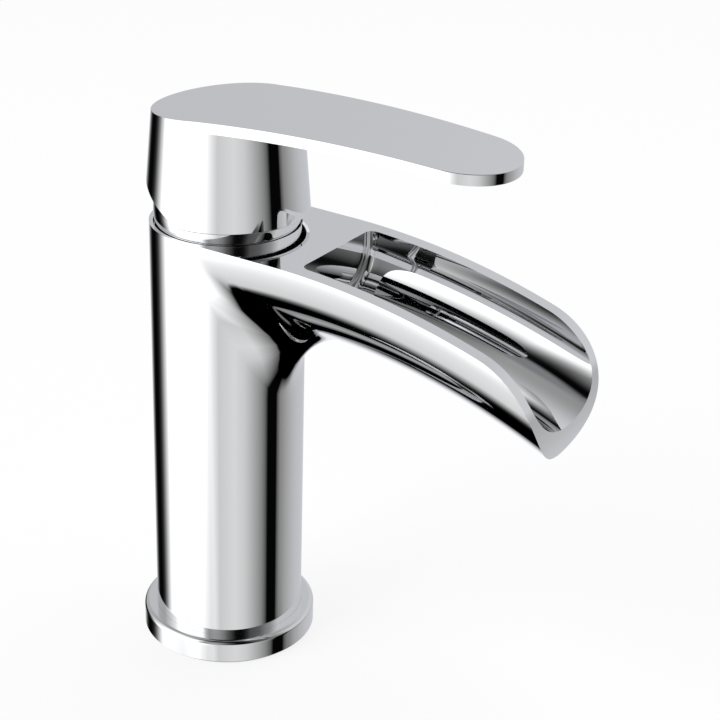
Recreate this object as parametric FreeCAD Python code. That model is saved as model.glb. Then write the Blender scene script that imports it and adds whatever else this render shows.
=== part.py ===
"""Single-lever waterfall basin faucet, built piece by piece in millimetres.

The origin is the centre of the base ring's underside, +Z is up and +X points along the spout.
Everything is drawn with the lever down, which is the closed position.
"""
import FreeCAD, Part
import math
import os
from FreeCAD import Vector

# ---------------------------------------------------------------- driving dimensions (mm)
# Cartridge: a common 35 mm ceramic one. The pillar is as slim as it allows.
CARTRIDGE_RADIUS = 17.5
HOUSING_WALL = 1.6
PORT_PLATE_HEIGHT = 3.5
FIXED_DISC_HEIGHT = 3.5
MOVING_DISC_HEIGHT = 4.0
CARRIER_FLANGE_HEIGHT = 1.2
CARRIER_BLOCK_HEIGHT = 2.7
CARRIER_BLOCK_WIDTH = 10.0
ROTOR_FLANGE_HEIGHT = 2.4
GLIDE_RING_HEIGHT = 0.5
HOUSING_TOP_THICKNESS = 2.0
NECK_HEIGHT = 8.0
NECK_WALL = 3.3
BARREL_RISE = 1.5
DISC_NOTCH_WIDTH = 3.2
DISC_NOTCH_DEPTH = 1.4
PEG_RADIUS = 1.5
PEG_LENGTH = 2.5

# Water ports, the same pattern through the seat, the port plate and the fixed disc
INLET_X = 4.0
INLET_Y = 8.0
INLET_RADIUS = 2.8
OUTLET_X = -7.5
OUTLET_RADIUS = 3.4
PEG_X = -2.0
PEG_Y = 14.2
SEAL_WIDTH = 1.5
SEAL_DEPTH = 1.4
POCKET_RADIUS = 11.0
POCKET_DEPTH = 1.6

# Lever spindle and its tilt
SPINDLE_SIDE = 8.0
PIN_RADIUS = 2.0
BALL_RADIUS = 2.5
BALL_ARM = 7.6
LIFT_ANGLE = 25.0
SPINDLE_NECK_RADIUS = 1.9
BLADE_DROP = 4.0
SPINDLE_RISE = 26.0

# Retaining nut, dome and the pillar's open end
NUT_WALL = 1.8
NUT_THREAD_LENGTH = 3.9
NUT_HEX_HEIGHT = 3.6
NUT_LIP = 1.7
NUT_HEX_WALL = 1.2
DOME_GAP = 0.9
DOME_WALL = 1.5
DOME_SKIRT_DEPTH = 4.0
DOME_OPENING_RISE = 12.0
PIVOT_RISE = 3.8
RIM_WIDTH = 1.4
SEAT_DEPTH = 16.2
O_RING_SECTION = 0.9

# Pillar, base ring and underside
PILLAR_TOP = 137.2
RING_WIDTH = 4.0
RING_HEIGHT = 7.6
RING_EDGE_RADIUS = 1.6
LEDGE_HEIGHT = 2.5
LEDGE_WIDTH = 2.5
FOOT_WALL = 3.5
FOOT_RECESS = 9.5
HOSE_TAP_RADIUS = 4.5
HOSE_TAP_DEPTH = 14.0
STUD_TAP_RADIUS = 3.4
STUD_TAP_DEPTH = 28.0
STUD_X = -12.0
GASKET_WIDTH = 2.0
GASKET_DEPTH = 1.2

# Spout: an open trough with an arched top edge, keel and floor
SPOUT_REACH = 114.0
SPOUT_FLAT_END = 29.5
SPOUT_ARCH_RADIUS = 230.0
SPOUT_NOSE_RADIUS = 24.5
SPOUT_ROOT_INSET = 0.2
SPOUT_NARROWING = 1.2
SPOUT_BELLY = 26.3
SPOUT_BELLY_POWER = 1.77
KEEL_APEX_X = 31.9
KEEL_APEX_DEPTH = 26.0
KEEL_RADIUS = 200.0
ROOT_FILLET = 24.0
TROUGH_LAND = 15.0
TROUGH_WALL = 3.85
TROUGH_BELLY = 13.5
TROUGH_BELLY_POWER = 2.08
TROUGH_APEX_X = 28.0
TROUGH_APEX_DEPTH = 17.6
TROUGH_FLOOR_RADIUS = 243.0
TROUGH_CORNER = 2.5
CHANNEL_HEIGHT = 4.0
CHANNEL_FLOOR_DEPTH = 22.9
CHANNEL_HALF_WIDTH = 3.8
WELL_LENGTH = 4.5
WELL_HALF_WIDTH = 7.5

# Lever with its hollow hub
LEVER_TOP_RISE = 37.8
LEVER_APEX_X = 47.4
LEVER_ARCH_RADIUS = 488.0
LEVER_THICKNESS = 3.15
LEVER_REAR_LIP = 0.1
LEVER_TIP_RADIUS = 16.3
LEVER_REACH = 93.4
HUB_BOTTOM_RISE = 4.2
HUB_WALL = 1.2
HUB_TAPER = 0.083
HUB_SOCKET_BOSS_RADIUS = 8.0
GRUB_SCREW_RADIUS = 2.5
GRUB_SCREW_LENGTH = 4.0
GRUB_SCREW_HEX = 2.5
GRUB_SCREW_RISE = 17.5
PLUG_RADIUS = 3.2
PLUG_THICKNESS = 2.4
KEY_HOLE_RADIUS = 2.8

# Clearances
RUNNING_GAP = 0.3
FACE_GAP = 0.05
PIN_GAP = 0.05
SLIDE_GAP = 0.1
DOME_RIM_GAP = 0.24
HUB_GAP = 1.3

# ---------------------------------------------------------------- derived places and sizes
NUT_RADIUS = CARTRIDGE_RADIUS + NUT_WALL
THREAD_RADIUS = NUT_RADIUS + SLIDE_GAP
DOME_BORE_RADIUS = NUT_RADIUS + DOME_GAP
DOME_RADIUS = DOME_BORE_RADIUS + DOME_WALL
PIVOT_Z = PILLAR_TOP + PIVOT_RISE
SKIRT_RADIUS = math.sqrt(DOME_RADIUS ** 2 - PIVOT_RISE ** 2)
COUNTERBORE_RADIUS = SKIRT_RADIUS + DOME_RIM_GAP
PILLAR_RADIUS = COUNTERBORE_RADIUS + RIM_WIDTH
SKIRT_Z = PILLAR_TOP - DOME_SKIRT_DEPTH
SEAT_Z = PILLAR_TOP - SEAT_DEPTH
THREAD_Z = SKIRT_Z - NUT_THREAD_LENGTH

SPOUT_ROOT_HALF_WIDTH = PILLAR_RADIUS - SPOUT_ROOT_INSET
SPOUT_TIP_HALF_WIDTH = SPOUT_ROOT_HALF_WIDTH - SPOUT_NARROWING
TROUGH_START = PILLAR_RADIUS + TROUGH_LAND
TROUGH_HALF_WIDTH = SPOUT_TIP_HALF_WIDTH - TROUGH_WALL

RING_BORE_RADIUS = PILLAR_RADIUS + SLIDE_GAP
RING_RADIUS = PILLAR_RADIUS + RING_WIDTH
LEDGE_BORE_RADIUS = PILLAR_RADIUS - LEDGE_WIDTH
FOOT_BORE_RADIUS = PILLAR_RADIUS - FOOT_WALL
FOOT_CEILING_Z = LEDGE_HEIGHT + FOOT_RECESS

PLATE_TOP_Z = SEAT_Z + PORT_PLATE_HEIGHT
FIXED_TOP_Z = PLATE_TOP_Z + FIXED_DISC_HEIGHT
MOVING_TOP_Z = FIXED_TOP_Z + MOVING_DISC_HEIGHT
BALL_Z = PIVOT_Z - BALL_ARM
SLIDE_TRAVEL = BALL_ARM * math.sin(math.radians(LIFT_ANGLE))
DISC_START_X = -SLIDE_TRAVEL / 2
HOUSING_BORE_RADIUS = CARTRIDGE_RADIUS - HOUSING_WALL
MOVING_DISC_RADIUS = HOUSING_BORE_RADIUS - SLIDE_TRAVEL / 2 - 2 * RUNNING_GAP
CARRIER_TOP_Z = MOVING_TOP_Z + CARRIER_BLOCK_HEIGHT
FLANGE_Z = CARRIER_TOP_Z + 2 * RUNNING_GAP
FLANGE_TOP_Z = FLANGE_Z + ROTOR_FLANGE_HEIGHT
HOUSING_CEILING_Z = FLANGE_TOP_Z + GLIDE_RING_HEIGHT
NECK_TOP_Z = HOUSING_CEILING_Z + NECK_HEIGHT
NECK_RADIUS = CARTRIDGE_RADIUS - HOUSING_TOP_THICKNESS
BARREL_HOLE_RADIUS = NECK_RADIUS - NECK_WALL
BARREL_RADIUS = BARREL_HOLE_RADIUS - RUNNING_GAP
BARREL_TOP_Z = NECK_TOP_Z + BARREL_RISE
SPINDLE_TOP_Z = PIVOT_Z + SPINDLE_RISE
NUT_LIP_RADIUS = CARTRIDGE_RADIUS - NUT_LIP
NUT_HEX_APOTHEM = NUT_LIP_RADIUS + NUT_HEX_WALL
NUT_GROOVE_Z = HOUSING_CEILING_Z - 3 * O_RING_SECTION
GRUB_SCREW_Z = PIVOT_Z + GRUB_SCREW_RISE
HUB_CAVITY_RADIUS = DOME_RADIUS + HUB_GAP
HUB_BOTTOM_RADIUS = HUB_CAVITY_RADIUS + HUB_WALL
HUB_BOTTOM_Z = PILLAR_TOP + HUB_BOTTOM_RISE
LEVER_TOP_Z = PILLAR_TOP + LEVER_TOP_RISE
LEVER_ROOT_RADIUS = HUB_BOTTOM_RADIUS - HUB_TAPER * (LEVER_TOP_Z - HUB_BOTTOM_Z) + LEVER_REAR_LIP
GRUB_SCREW_X = -(SPINDLE_SIDE / 2 + PIN_GAP)


# ---------------------------------------------------------------- drawing helpers
def cylinder(radius, z_low, z_high, x=0.0, y=0.0):
    """Upright cylinder between two heights."""
    return Part.makeCylinder(radius, z_high - z_low, Vector(x, y, z_low))


def tube(outer, inner, z_low, z_high, x=0.0, y=0.0):
    """Upright ring with a plain bore."""
    return cylinder(outer, z_low, z_high, x, y).cut(cylinder(inner, z_low - 1, z_high + 1, x, y))


def block(x_low, x_high, y_low, y_high, z_low, z_high):
    """Box given by its six limits."""
    corner = Vector(x_low, y_low, z_low)
    return Part.makeBox(x_high - x_low, y_high - y_low, z_high - z_low, corner)


def torus(ring_radius, section_radius, z):
    """O-ring lying flat."""
    return Part.makeTorus(ring_radius, section_radius, Vector(0, 0, z))


def segment(start, end):
    """Straight edge."""
    return Part.LineSegment(start, end).toShape()


def arc(start, middle, end):
    """Circular edge through three points."""
    return Part.Arc(start, middle, end).toShape()


def turned(profile):
    """Solid of revolution about Z from (radius, height) corners."""
    corners = [Vector(radius, 0, z) for radius, z in profile]
    face = Part.Face(Part.makePolygon(corners + corners[:1]))
    return face.revolve(Vector(0, 0, 0), Vector(0, 0, 1), 360)


def across(wire, half_width):
    """Side profile in the XZ plane, drawn out to both sides of the centre plane."""
    face = Part.Face(wire)
    face.translate(Vector(0, -half_width, 0))
    return face.extrude(Vector(0, 2 * half_width, 0))


def bow(center_x, center_z, radius, x):
    """Point on the upper half of a circle in the XZ plane."""
    return Vector(x, 0, center_z + math.sqrt(radius ** 2 - (x - center_x) ** 2))


def at_ports(make):
    """Two inlets and the outlet, each made by one function of its port radius and place."""
    ports = [
        (INLET_RADIUS, INLET_X, -INLET_Y),
        (INLET_RADIUS, INLET_X, INLET_Y),
        (OUTLET_RADIUS, OUTLET_X, 0.0),
    ]
    return [make(radius, x, y) for radius, x, y in ports]


def cut_all(solid, tools):
    """Take several tools out of a solid."""
    for tool in tools:
        solid = solid.cut(tool)
    return solid


def save(name, shape):
    """Write one piece, after a check that it is sound."""
    shape = shape.removeSplitter()
    if not shape.isValid():
        raise ValueError(name + " is not a valid solid")
    shape.exportStep("parts/" + name + ".step")
    print(name, len(shape.Solids), round(shape.Volume, 1))


# ---------------------------------------------------------------- tap body
def keel_height(x, apex_x, apex_z, radius):
    """Height of a shallow arch, highest at apex_x."""
    return apex_z - radius + math.sqrt(radius ** 2 - (x - apex_x) ** 2)


def trough_section(x, half_width, bottom_z, belly, power, top_z):
    """U-shaped section across the spout: a superellipse belly below upright sides."""
    spring_z = bottom_z + belly
    points = []
    steps = 16
    for index in range(steps + 1):
        angle = math.pi * index / steps
        out = math.cos(angle)
        down = math.sin(angle)
        y = math.copysign(half_width * abs(out) ** (2 / power), out)
        points.append(Vector(x, y, spring_z - belly * max(down, 0.0) ** (2 / power)))
    curve = Part.BSplineCurve()
    curve.interpolate(points)
    right_top = Vector(x, half_width, top_z)
    left_top = Vector(x, -half_width, top_z)
    edges = [
        curve.toShape(),
        segment(points[-1], left_top),
        segment(left_top, right_top),
        segment(right_top, points[0]),
    ]
    return Part.Wire(edges)


def spout_side_profile():
    """Side view of pillar top and spout: flat, long arch, then a round nose."""
    top = PILLAR_TOP
    arch_z = top - SPOUT_ARCH_RADIUS
    nose_x = SPOUT_REACH - SPOUT_NOSE_RADIUS
    turn = math.asin((nose_x - SPOUT_FLAT_END) / (SPOUT_ARCH_RADIUS - SPOUT_NOSE_RADIUS))
    nose_z = arch_z + (SPOUT_ARCH_RADIUS - SPOUT_NOSE_RADIUS) * math.cos(turn)

    def on_arch(angle):
        return Vector(SPOUT_FLAT_END + SPOUT_ARCH_RADIUS * math.sin(angle), 0,
                      arch_z + SPOUT_ARCH_RADIUS * math.cos(angle))

    def on_nose(angle):
        return Vector(nose_x + SPOUT_NOSE_RADIUS * math.sin(angle), 0,
                      nose_z + SPOUT_NOSE_RADIUS * math.cos(angle))

    last = math.radians(150)
    start = Vector(0, 0, top)
    flat_end = Vector(SPOUT_FLAT_END, 0, top)
    nose_end = on_nose(last)
    below = Vector(0, 0, nose_end.z)
    edges = [
        segment(start, flat_end),
        arc(flat_end, on_arch(turn / 2), on_arch(turn)),
        arc(on_arch(turn), on_nose((turn + last) / 2), nose_end),
        segment(nose_end, below),
        segment(below, start),
    ]
    return Part.Wire(edges)


def spout_outside():
    """Loft of U sections under an arched keel, trimmed by the side view."""
    sections = []
    count = 7
    length = SPOUT_REACH + SPOUT_NOSE_RADIUS / 4
    keel_z = PILLAR_TOP - KEEL_APEX_DEPTH
    for index in range(count):
        x = length * index / (count - 1)
        share = x / SPOUT_REACH
        half_width = SPOUT_ROOT_HALF_WIDTH + (SPOUT_TIP_HALF_WIDTH - SPOUT_ROOT_HALF_WIDTH) * share
        bottom = keel_height(x, KEEL_APEX_X, keel_z, KEEL_RADIUS)
        top = PILLAR_TOP + SPOUT_BELLY
        sections.append(trough_section(x, half_width, bottom, SPOUT_BELLY, SPOUT_BELLY_POWER, top))
    hull = Part.makeLoft(sections, True, False)
    return hull.common(across(spout_side_profile(), 2 * PILLAR_RADIUS))


def trough():
    """Water trough, open at the nose, with a rounded corner all round its rear wall."""
    sections = []
    count = 5
    length = SPOUT_REACH + SPOUT_NOSE_RADIUS / 2 - TROUGH_START
    floor_z = PILLAR_TOP - TROUGH_APEX_DEPTH
    for index in range(count):
        x = TROUGH_START + length * index / (count - 1)
        bottom = keel_height(x, TROUGH_APEX_X, floor_z, TROUGH_FLOOR_RADIUS)
        top = PILLAR_TOP + TROUGH_BELLY
        sections.append(trough_section(x, TROUGH_HALF_WIDTH, bottom, TROUGH_BELLY, TROUGH_BELLY_POWER, top))
    hollow = Part.makeLoft(sections, True, False)
    rear = [edge for edge in hollow.Edges
            if abs(edge.BoundBox.XMin - TROUGH_START) < 1e-3
            and edge.BoundBox.XLength < 1e-3
            and edge.BoundBox.ZMin < PILLAR_TOP]
    return hollow.makeFillet(TROUGH_CORNER, rear)


def water_channel():
    """Flat funnel from the outlet port to the well at the rear of the trough."""
    floor_z = PILLAR_TOP - CHANNEL_FLOOR_DEPTH
    roof_z = floor_z + CHANNEL_HEIGHT
    well_start = TROUGH_START + 1
    well_end = well_start + WELL_LENGTH
    widen_start = INLET_X + INLET_RADIUS + WELL_HALF_WIDTH - CHANNEL_HALF_WIDTH
    corners = [
        Vector(OUTLET_X, -CHANNEL_HALF_WIDTH, floor_z),
        Vector(widen_start, -CHANNEL_HALF_WIDTH, floor_z),
        Vector(widen_start + WELL_HALF_WIDTH, -WELL_HALF_WIDTH, floor_z),
        Vector(well_end, -WELL_HALF_WIDTH, floor_z),
        Vector(well_end, WELL_HALF_WIDTH, floor_z),
        Vector(widen_start + WELL_HALF_WIDTH, WELL_HALF_WIDTH, floor_z),
        Vector(widen_start, CHANNEL_HALF_WIDTH, floor_z),
        Vector(OUTLET_X, CHANNEL_HALF_WIDTH, floor_z),
    ]
    run = Part.Face(Part.makePolygon(corners + corners[:1])).extrude(Vector(0, 0, CHANNEL_HEIGHT))
    port_end = cylinder(CHANNEL_HALF_WIDTH, floor_z, roof_z, OUTLET_X)
    well = block(well_start, well_end, -WELL_HALF_WIDTH, WELL_HALF_WIDTH, floor_z,
                 roof_z + TROUGH_BELLY)
    port = cylinder(OUTLET_RADIUS, floor_z + 1, SEAT_Z + 1, OUTLET_X)
    return run.fuse([port_end, well, port]).removeSplitter()


def root_edges(body):
    """Edges where the spout's underside meets the round pillar."""
    found = []
    for edge in body.Edges:
        middle = edge.valueAt((edge.FirstParameter + edge.LastParameter) / 2)
        on_pillar = abs(math.hypot(middle.x, middle.y) - PILLAR_RADIUS) < 1e-3
        box = edge.BoundBox
        below_top = box.ZMin < PILLAR_TOP - 1e-3
        beside_spout = middle.x > 1e-3 and box.ZMin > PILLAR_TOP - 2 * KEEL_APEX_DEPTH
        if on_pillar and below_top and beside_spout:
            found.append(edge)
    return found


def tap_body():
    """Cast brass pillar and trough spout in one, with cartridge seat, waterways and taps."""
    pillar = cylinder(PILLAR_RADIUS, LEDGE_HEIGHT, PILLAR_TOP)
    body = pillar.fuse(spout_outside()).removeSplitter()
    body = body.makeFillet(ROOT_FILLET, root_edges(body))
    groove_z = (LEDGE_HEIGHT + RING_HEIGHT) / 2
    groove_floor = RING_BORE_RADIUS - 2 * O_RING_SECTION + SLIDE_GAP
    cuts = [
        trough(),
        cylinder(CARTRIDGE_RADIUS + SLIDE_GAP, SEAT_Z, PILLAR_TOP + 1),
        cylinder(THREAD_RADIUS, THREAD_Z, PILLAR_TOP + 1),
        cylinder(COUNTERBORE_RADIUS, SKIRT_Z, PILLAR_TOP + 1),
        water_channel(),
        cylinder(FOOT_BORE_RADIUS, LEDGE_HEIGHT - 1, FOOT_CEILING_Z),
        cylinder(STUD_TAP_RADIUS, FOOT_CEILING_Z - 1, FOOT_CEILING_Z + STUD_TAP_DEPTH, STUD_X),
        tube(PILLAR_RADIUS + 1, groove_floor, groove_z - O_RING_SECTION, groove_z + O_RING_SECTION),
    ]
    for side in (-1, 1):
        hose_y = side * INLET_Y
        tap_top = FOOT_CEILING_Z + HOSE_TAP_DEPTH
        cuts.append(cylinder(HOSE_TAP_RADIUS, FOOT_CEILING_Z - 1, tap_top, INLET_X, hose_y))
        cuts.append(cylinder(INLET_RADIUS, tap_top - 1, SEAT_Z + 1, INLET_X, hose_y))
        peg_z = SEAT_Z - PEG_LENGTH - RUNNING_GAP
        cuts.append(cylinder(PEG_RADIUS + SLIDE_GAP, peg_z, SEAT_Z + 1, PEG_X, side * PEG_Y))
    return cut_all(body, cuts)


# ---------------------------------------------------------------- base ring and its seals
def base_ring():
    """Turned ring with a rounded top edge, a ledge for the pillar and a gasket groove."""
    ring = cylinder(RING_RADIUS, 0, RING_HEIGHT)
    top_edge = [edge for edge in ring.Edges if edge.BoundBox.ZMin > RING_HEIGHT - 1e-3
                and edge.BoundBox.ZLength < 1e-3]
    ring = ring.makeFillet(RING_EDGE_RADIUS, top_edge)
    inner, outer = gasket_radii()
    cuts = [
        cylinder(RING_BORE_RADIUS, LEDGE_HEIGHT, RING_HEIGHT + 1),
        cylinder(LEDGE_BORE_RADIUS, -1, LEDGE_HEIGHT + 1),
        tube(outer + SLIDE_GAP, inner - SLIDE_GAP, -1, GASKET_DEPTH + FACE_GAP),
    ]
    return cut_all(ring, cuts)


def gasket_radii():
    """Inner and outer radius of the seal, in the middle of the ring's foot."""
    middle = (RING_RADIUS + LEDGE_BORE_RADIUS) / 2
    return middle - GASKET_WIDTH / 2, middle + GASKET_WIDTH / 2


def base_gasket():
    """Flat rubber ring, flush with the ring's underside as when it is bolted down."""
    inner, outer = gasket_radii()
    return tube(outer, inner, 0, GASKET_DEPTH)


def body_o_ring():
    """Centres the pillar in the ring's bore."""
    section = O_RING_SECTION - SLIDE_GAP
    return torus(RING_BORE_RADIUS - section - PIN_GAP, section, (LEDGE_HEIGHT + RING_HEIGHT) / 2)


# ---------------------------------------------------------------- cartridge
def port_plate():
    """Plastic plate with ports, seal recesses on both faces, two pegs and two keys."""
    plate = cylinder(CARTRIDGE_RADIUS, SEAT_Z, PLATE_TOP_Z)
    for side in (-1, 1):
        peg = cylinder(PEG_RADIUS, SEAT_Z - PEG_LENGTH, SEAT_Z + 1, PEG_X, side * PEG_Y)
        plate = plate.fuse([peg, disc_key(side, 0.0)])

    def through(radius, x, y):
        return cylinder(radius, SEAT_Z - 1, PLATE_TOP_Z + 1, x, y)

    def recess(radius, x, y):
        reach = radius + SEAL_WIDTH + 2 * SLIDE_GAP
        low = cylinder(reach, SEAT_Z - 1, SEAT_Z + SEAL_DEPTH, x, y)
        high = cylinder(reach, PLATE_TOP_Z - SEAL_DEPTH, PLATE_TOP_Z + 1, x, y)
        return low.fuse(high)

    return cut_all(plate, at_ports(through) + at_ports(recess)).removeSplitter()


def disc_key(side, gap):
    """Key that stops the fixed disc from turning, or its notch when given a gap."""
    inner = HOUSING_BORE_RADIUS - DISC_NOTCH_DEPTH - gap
    half = DISC_NOTCH_WIDTH / 2 + gap - SLIDE_GAP
    top = PLATE_TOP_Z + FIXED_DISC_HEIGHT * 0.7 + (FIXED_DISC_HEIGHT if gap else 0)
    ring = tube(HOUSING_BORE_RADIUS - SLIDE_GAP + gap, inner, PLATE_TOP_Z - 1, top)
    low, high = sorted((side * inner * 0.9, side * CARTRIDGE_RADIUS))
    return ring.common(block(low, high, -half, half, PLATE_TOP_Z - 1, top))


def seals(z_low, z_high):
    """Three flat rubber rings round the ports."""
    def ring(radius, x, y):
        return tube(radius + SEAL_WIDTH + SLIDE_GAP, radius + SLIDE_GAP, z_low, z_high, x, y)
    return Part.makeCompound(at_ports(ring))


def fixed_disc():
    """Ceramic disc with the three ports and two notches for the keys."""
    disc = cylinder(HOUSING_BORE_RADIUS - SLIDE_GAP, PLATE_TOP_Z, FIXED_TOP_Z)

    def through(radius, x, y):
        return cylinder(radius, PLATE_TOP_Z - 1, FIXED_TOP_Z + 1, x, y)

    notches = [disc_key(side, 2 * SLIDE_GAP) for side in (-1, 1)]
    return cut_all(disc, at_ports(through) + notches)


def moving_disc():
    """Ceramic disc whose hollow underside joins the inlets to the outlet when it slides."""
    low = FIXED_TOP_Z + FACE_GAP
    disc = cylinder(MOVING_DISC_RADIUS, low, MOVING_TOP_Z, DISC_START_X)
    pocket = cylinder(POCKET_RADIUS, low - 1, low + POCKET_DEPTH, DISC_START_X)
    front = INLET_X - INLET_RADIUS - 2 * RUNNING_GAP
    shut = block(-CARTRIDGE_RADIUS, front, -CARTRIDGE_RADIUS, CARTRIDGE_RADIUS,
                 low - 1, low + POCKET_DEPTH)
    ball_room = cylinder(BALL_RADIUS + 2 * RUNNING_GAP, BALL_Z - BALL_RADIUS - RUNNING_GAP / 2,
                         MOVING_TOP_Z + 1)
    return cut_all(disc, [pocket.common(shut), ball_room])


def disc_carrier():
    """Plastic carrier on the moving disc: a guided block with a socket for the ball."""
    flange_top = MOVING_TOP_Z + CARRIER_FLANGE_HEIGHT
    flange = cylinder(MOVING_DISC_RADIUS, MOVING_TOP_Z, flange_top, DISC_START_X)
    half = CARRIER_BLOCK_WIDTH / 2
    guide = block(-half, half, -half, half, MOVING_TOP_Z, CARRIER_TOP_Z)
    socket = cylinder(BALL_RADIUS + 1.5 * SLIDE_GAP, MOVING_TOP_Z - 1, CARRIER_TOP_Z + 1)
    return flange.fuse(guide).cut(socket).removeSplitter()


def cartridge_housing():
    """Plastic shell with a slimmer neck that guides the rotor."""
    profile = [
        (HOUSING_BORE_RADIUS, PLATE_TOP_Z), (CARTRIDGE_RADIUS, PLATE_TOP_Z),
        (CARTRIDGE_RADIUS, HOUSING_CEILING_Z), (NECK_RADIUS, HOUSING_CEILING_Z),
        (NECK_RADIUS, NECK_TOP_Z), (BARREL_HOLE_RADIUS, NECK_TOP_Z),
        (BARREL_HOLE_RADIUS, HOUSING_CEILING_Z), (HOUSING_BORE_RADIUS, HOUSING_CEILING_Z),
    ]
    return turned(profile)


def cartridge_rotor():
    """Turret with a slot for the spindle, a pin hole and two rails for the carrier."""
    flange = cylinder(HOUSING_BORE_RADIUS - RUNNING_GAP, FLANGE_Z, FLANGE_TOP_Z - FACE_GAP)
    barrel = cylinder(BARREL_RADIUS, FLANGE_Z, BARREL_TOP_Z)
    rotor = flange.fuse(barrel)
    rail_low = CARRIER_BLOCK_WIDTH / 2 + SLIDE_GAP
    rail_z = MOVING_TOP_Z + CARRIER_FLANGE_HEIGHT + RUNNING_GAP
    for side in (-1, 1):
        low, high = sorted((side * rail_low, side * (rail_low + HOUSING_TOP_THICKNESS)))
        rail = block(-BARREL_RADIUS / 1.3, BARREL_RADIUS / 1.3, low, high, rail_z, FLANGE_Z + 1)
        rotor = rotor.fuse(rail)
    half_y = SPINDLE_SIDE / 2 + SLIDE_GAP
    swing = (BARREL_TOP_Z - PIVOT_Z) * math.tan(math.radians(LIFT_ANGLE))
    half_x = swing + SPINDLE_SIDE / 2 / math.cos(math.radians(LIFT_ANGLE)) + 2 * RUNNING_GAP
    slot = block(-half_x, half_x, -half_y, half_y, rail_z - 1, BARREL_TOP_Z + 1)
    pin_hole = pin(PIN_RADIUS + PIN_GAP / 2, 2 * BARREL_RADIUS)
    return cut_all(rotor.removeSplitter(), [slot, pin_hole])


def pin(radius, length):
    """Rod across the barrel, on the lever's tilt axis."""
    return Part.makeCylinder(radius, length, Vector(0, -length / 2, PIVOT_Z), Vector(0, 1, 0))


def spindle_pin():
    """Steel pin, held in by the housing's neck."""
    return pin(PIN_RADIUS, 2 * BARREL_RADIUS - 4 * RUNNING_GAP)


def rotor_glide_ring():
    """Slippery ring between the rotor's flange and the housing."""
    return tube(HOUSING_BORE_RADIUS - RUNNING_GAP, BARREL_RADIUS + SLIDE_GAP, FLANGE_TOP_Z,
                HOUSING_CEILING_Z - FACE_GAP)


def lever_spindle():
    """Square stem that tilts on the pin; its ball end below drives the carrier."""
    half = SPINDLE_SIDE / 2
    stem = block(-half, half, -half, half, PIVOT_Z - BLADE_DROP, SPINDLE_TOP_Z)
    neck = cylinder(SPINDLE_NECK_RADIUS, BALL_Z, PIVOT_Z - BLADE_DROP + 1)
    ball = Part.makeSphere(BALL_RADIUS, Vector(0, 0, BALL_Z))
    hole = pin(PIN_RADIUS + PIN_GAP, 4 * SPINDLE_SIDE)
    return stem.fuse([neck, ball]).removeSplitter().cut(hole)


def temperature_limit_ring():
    """Toothed ring on the neck; turning it on its teeth limits how hot the water gets."""
    inner = NECK_RADIUS + PIN_GAP
    low = NECK_TOP_Z - NECK_HEIGHT / 2
    ring = tube(NECK_RADIUS + NUT_HEX_WALL, inner, low, NECK_TOP_Z)
    teeth = 24
    for index in range(teeth):
        angle = 2 * math.pi * index / teeth
        x = (NECK_RADIUS + NUT_HEX_WALL) * math.cos(angle)
        y = (NECK_RADIUS + NUT_HEX_WALL) * math.sin(angle)
        ring = ring.cut(cylinder(NUT_HEX_WALL / 2, low - 1, low + NECK_HEIGHT / 4, x, y))
    return ring


# ---------------------------------------------------------------- nut and dome
def retaining_nut():
    """Brass nut: threaded skirt round the housing, a lip on its shoulder, a hexagon above."""
    skirt = cylinder(NUT_RADIUS, THREAD_Z + RUNNING_GAP, HOUSING_CEILING_Z)
    hexagon_z = HOUSING_CEILING_Z + NUT_HEX_HEIGHT
    corner = NUT_HEX_APOTHEM / math.cos(math.pi / 6)
    points = []
    for index in range(7):
        angle = math.pi / 3 * index
        points.append(Vector(corner * math.cos(angle), corner * math.sin(angle), HOUSING_CEILING_Z - 1))
    hexagon = Part.Face(Part.makePolygon(points)).extrude(Vector(0, 0, NUT_HEX_HEIGHT + 1))
    nut = skirt.fuse(hexagon).removeSplitter()
    groove_low = NUT_GROOVE_Z - O_RING_SECTION - SLIDE_GAP
    groove_high = NUT_GROOVE_Z + O_RING_SECTION + SLIDE_GAP
    cuts = [
        cylinder(CARTRIDGE_RADIUS + SLIDE_GAP, THREAD_Z, HOUSING_CEILING_Z),
        cylinder(NUT_LIP_RADIUS, HOUSING_CEILING_Z - 1, hexagon_z + 1),
        tube(NUT_RADIUS + 1, NUT_RADIUS - O_RING_SECTION, groove_low, groove_high),
    ]
    return cut_all(nut, cuts)


def dome_o_ring():
    """Rubber ring in the nut's groove that grips the dome from inside."""
    section = (DOME_BORE_RADIUS - NUT_RADIUS + O_RING_SECTION) / 2 - SLIDE_GAP / 2
    return torus(DOME_BORE_RADIUS - section - SLIDE_GAP / 2, section, NUT_GROOVE_Z)


def dome_cover():
    """Spun dome over nut and cartridge, centred on the lever's tilt axis."""
    center = Vector(0, 0, PIVOT_Z)
    outside = Part.makeSphere(DOME_RADIUS, center)
    below = block(-DOME_RADIUS, DOME_RADIUS, -DOME_RADIUS, DOME_RADIUS,
                  PIVOT_Z - DOME_RADIUS - 1, PILLAR_TOP)
    shell = outside.cut(below).fuse(cylinder(SKIRT_RADIUS, SKIRT_Z + FACE_GAP, PILLAR_TOP))
    opening_z = PIVOT_Z + DOME_OPENING_RISE
    above = block(-DOME_RADIUS, DOME_RADIUS, -DOME_RADIUS, DOME_RADIUS,
                  opening_z, PIVOT_Z + DOME_RADIUS + 1)
    cuts = [
        above,
        Part.makeSphere(DOME_BORE_RADIUS, center),
        cylinder(DOME_BORE_RADIUS, SKIRT_Z - 1, PIVOT_Z),
    ]
    return cut_all(shell.removeSplitter(), cuts)


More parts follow.
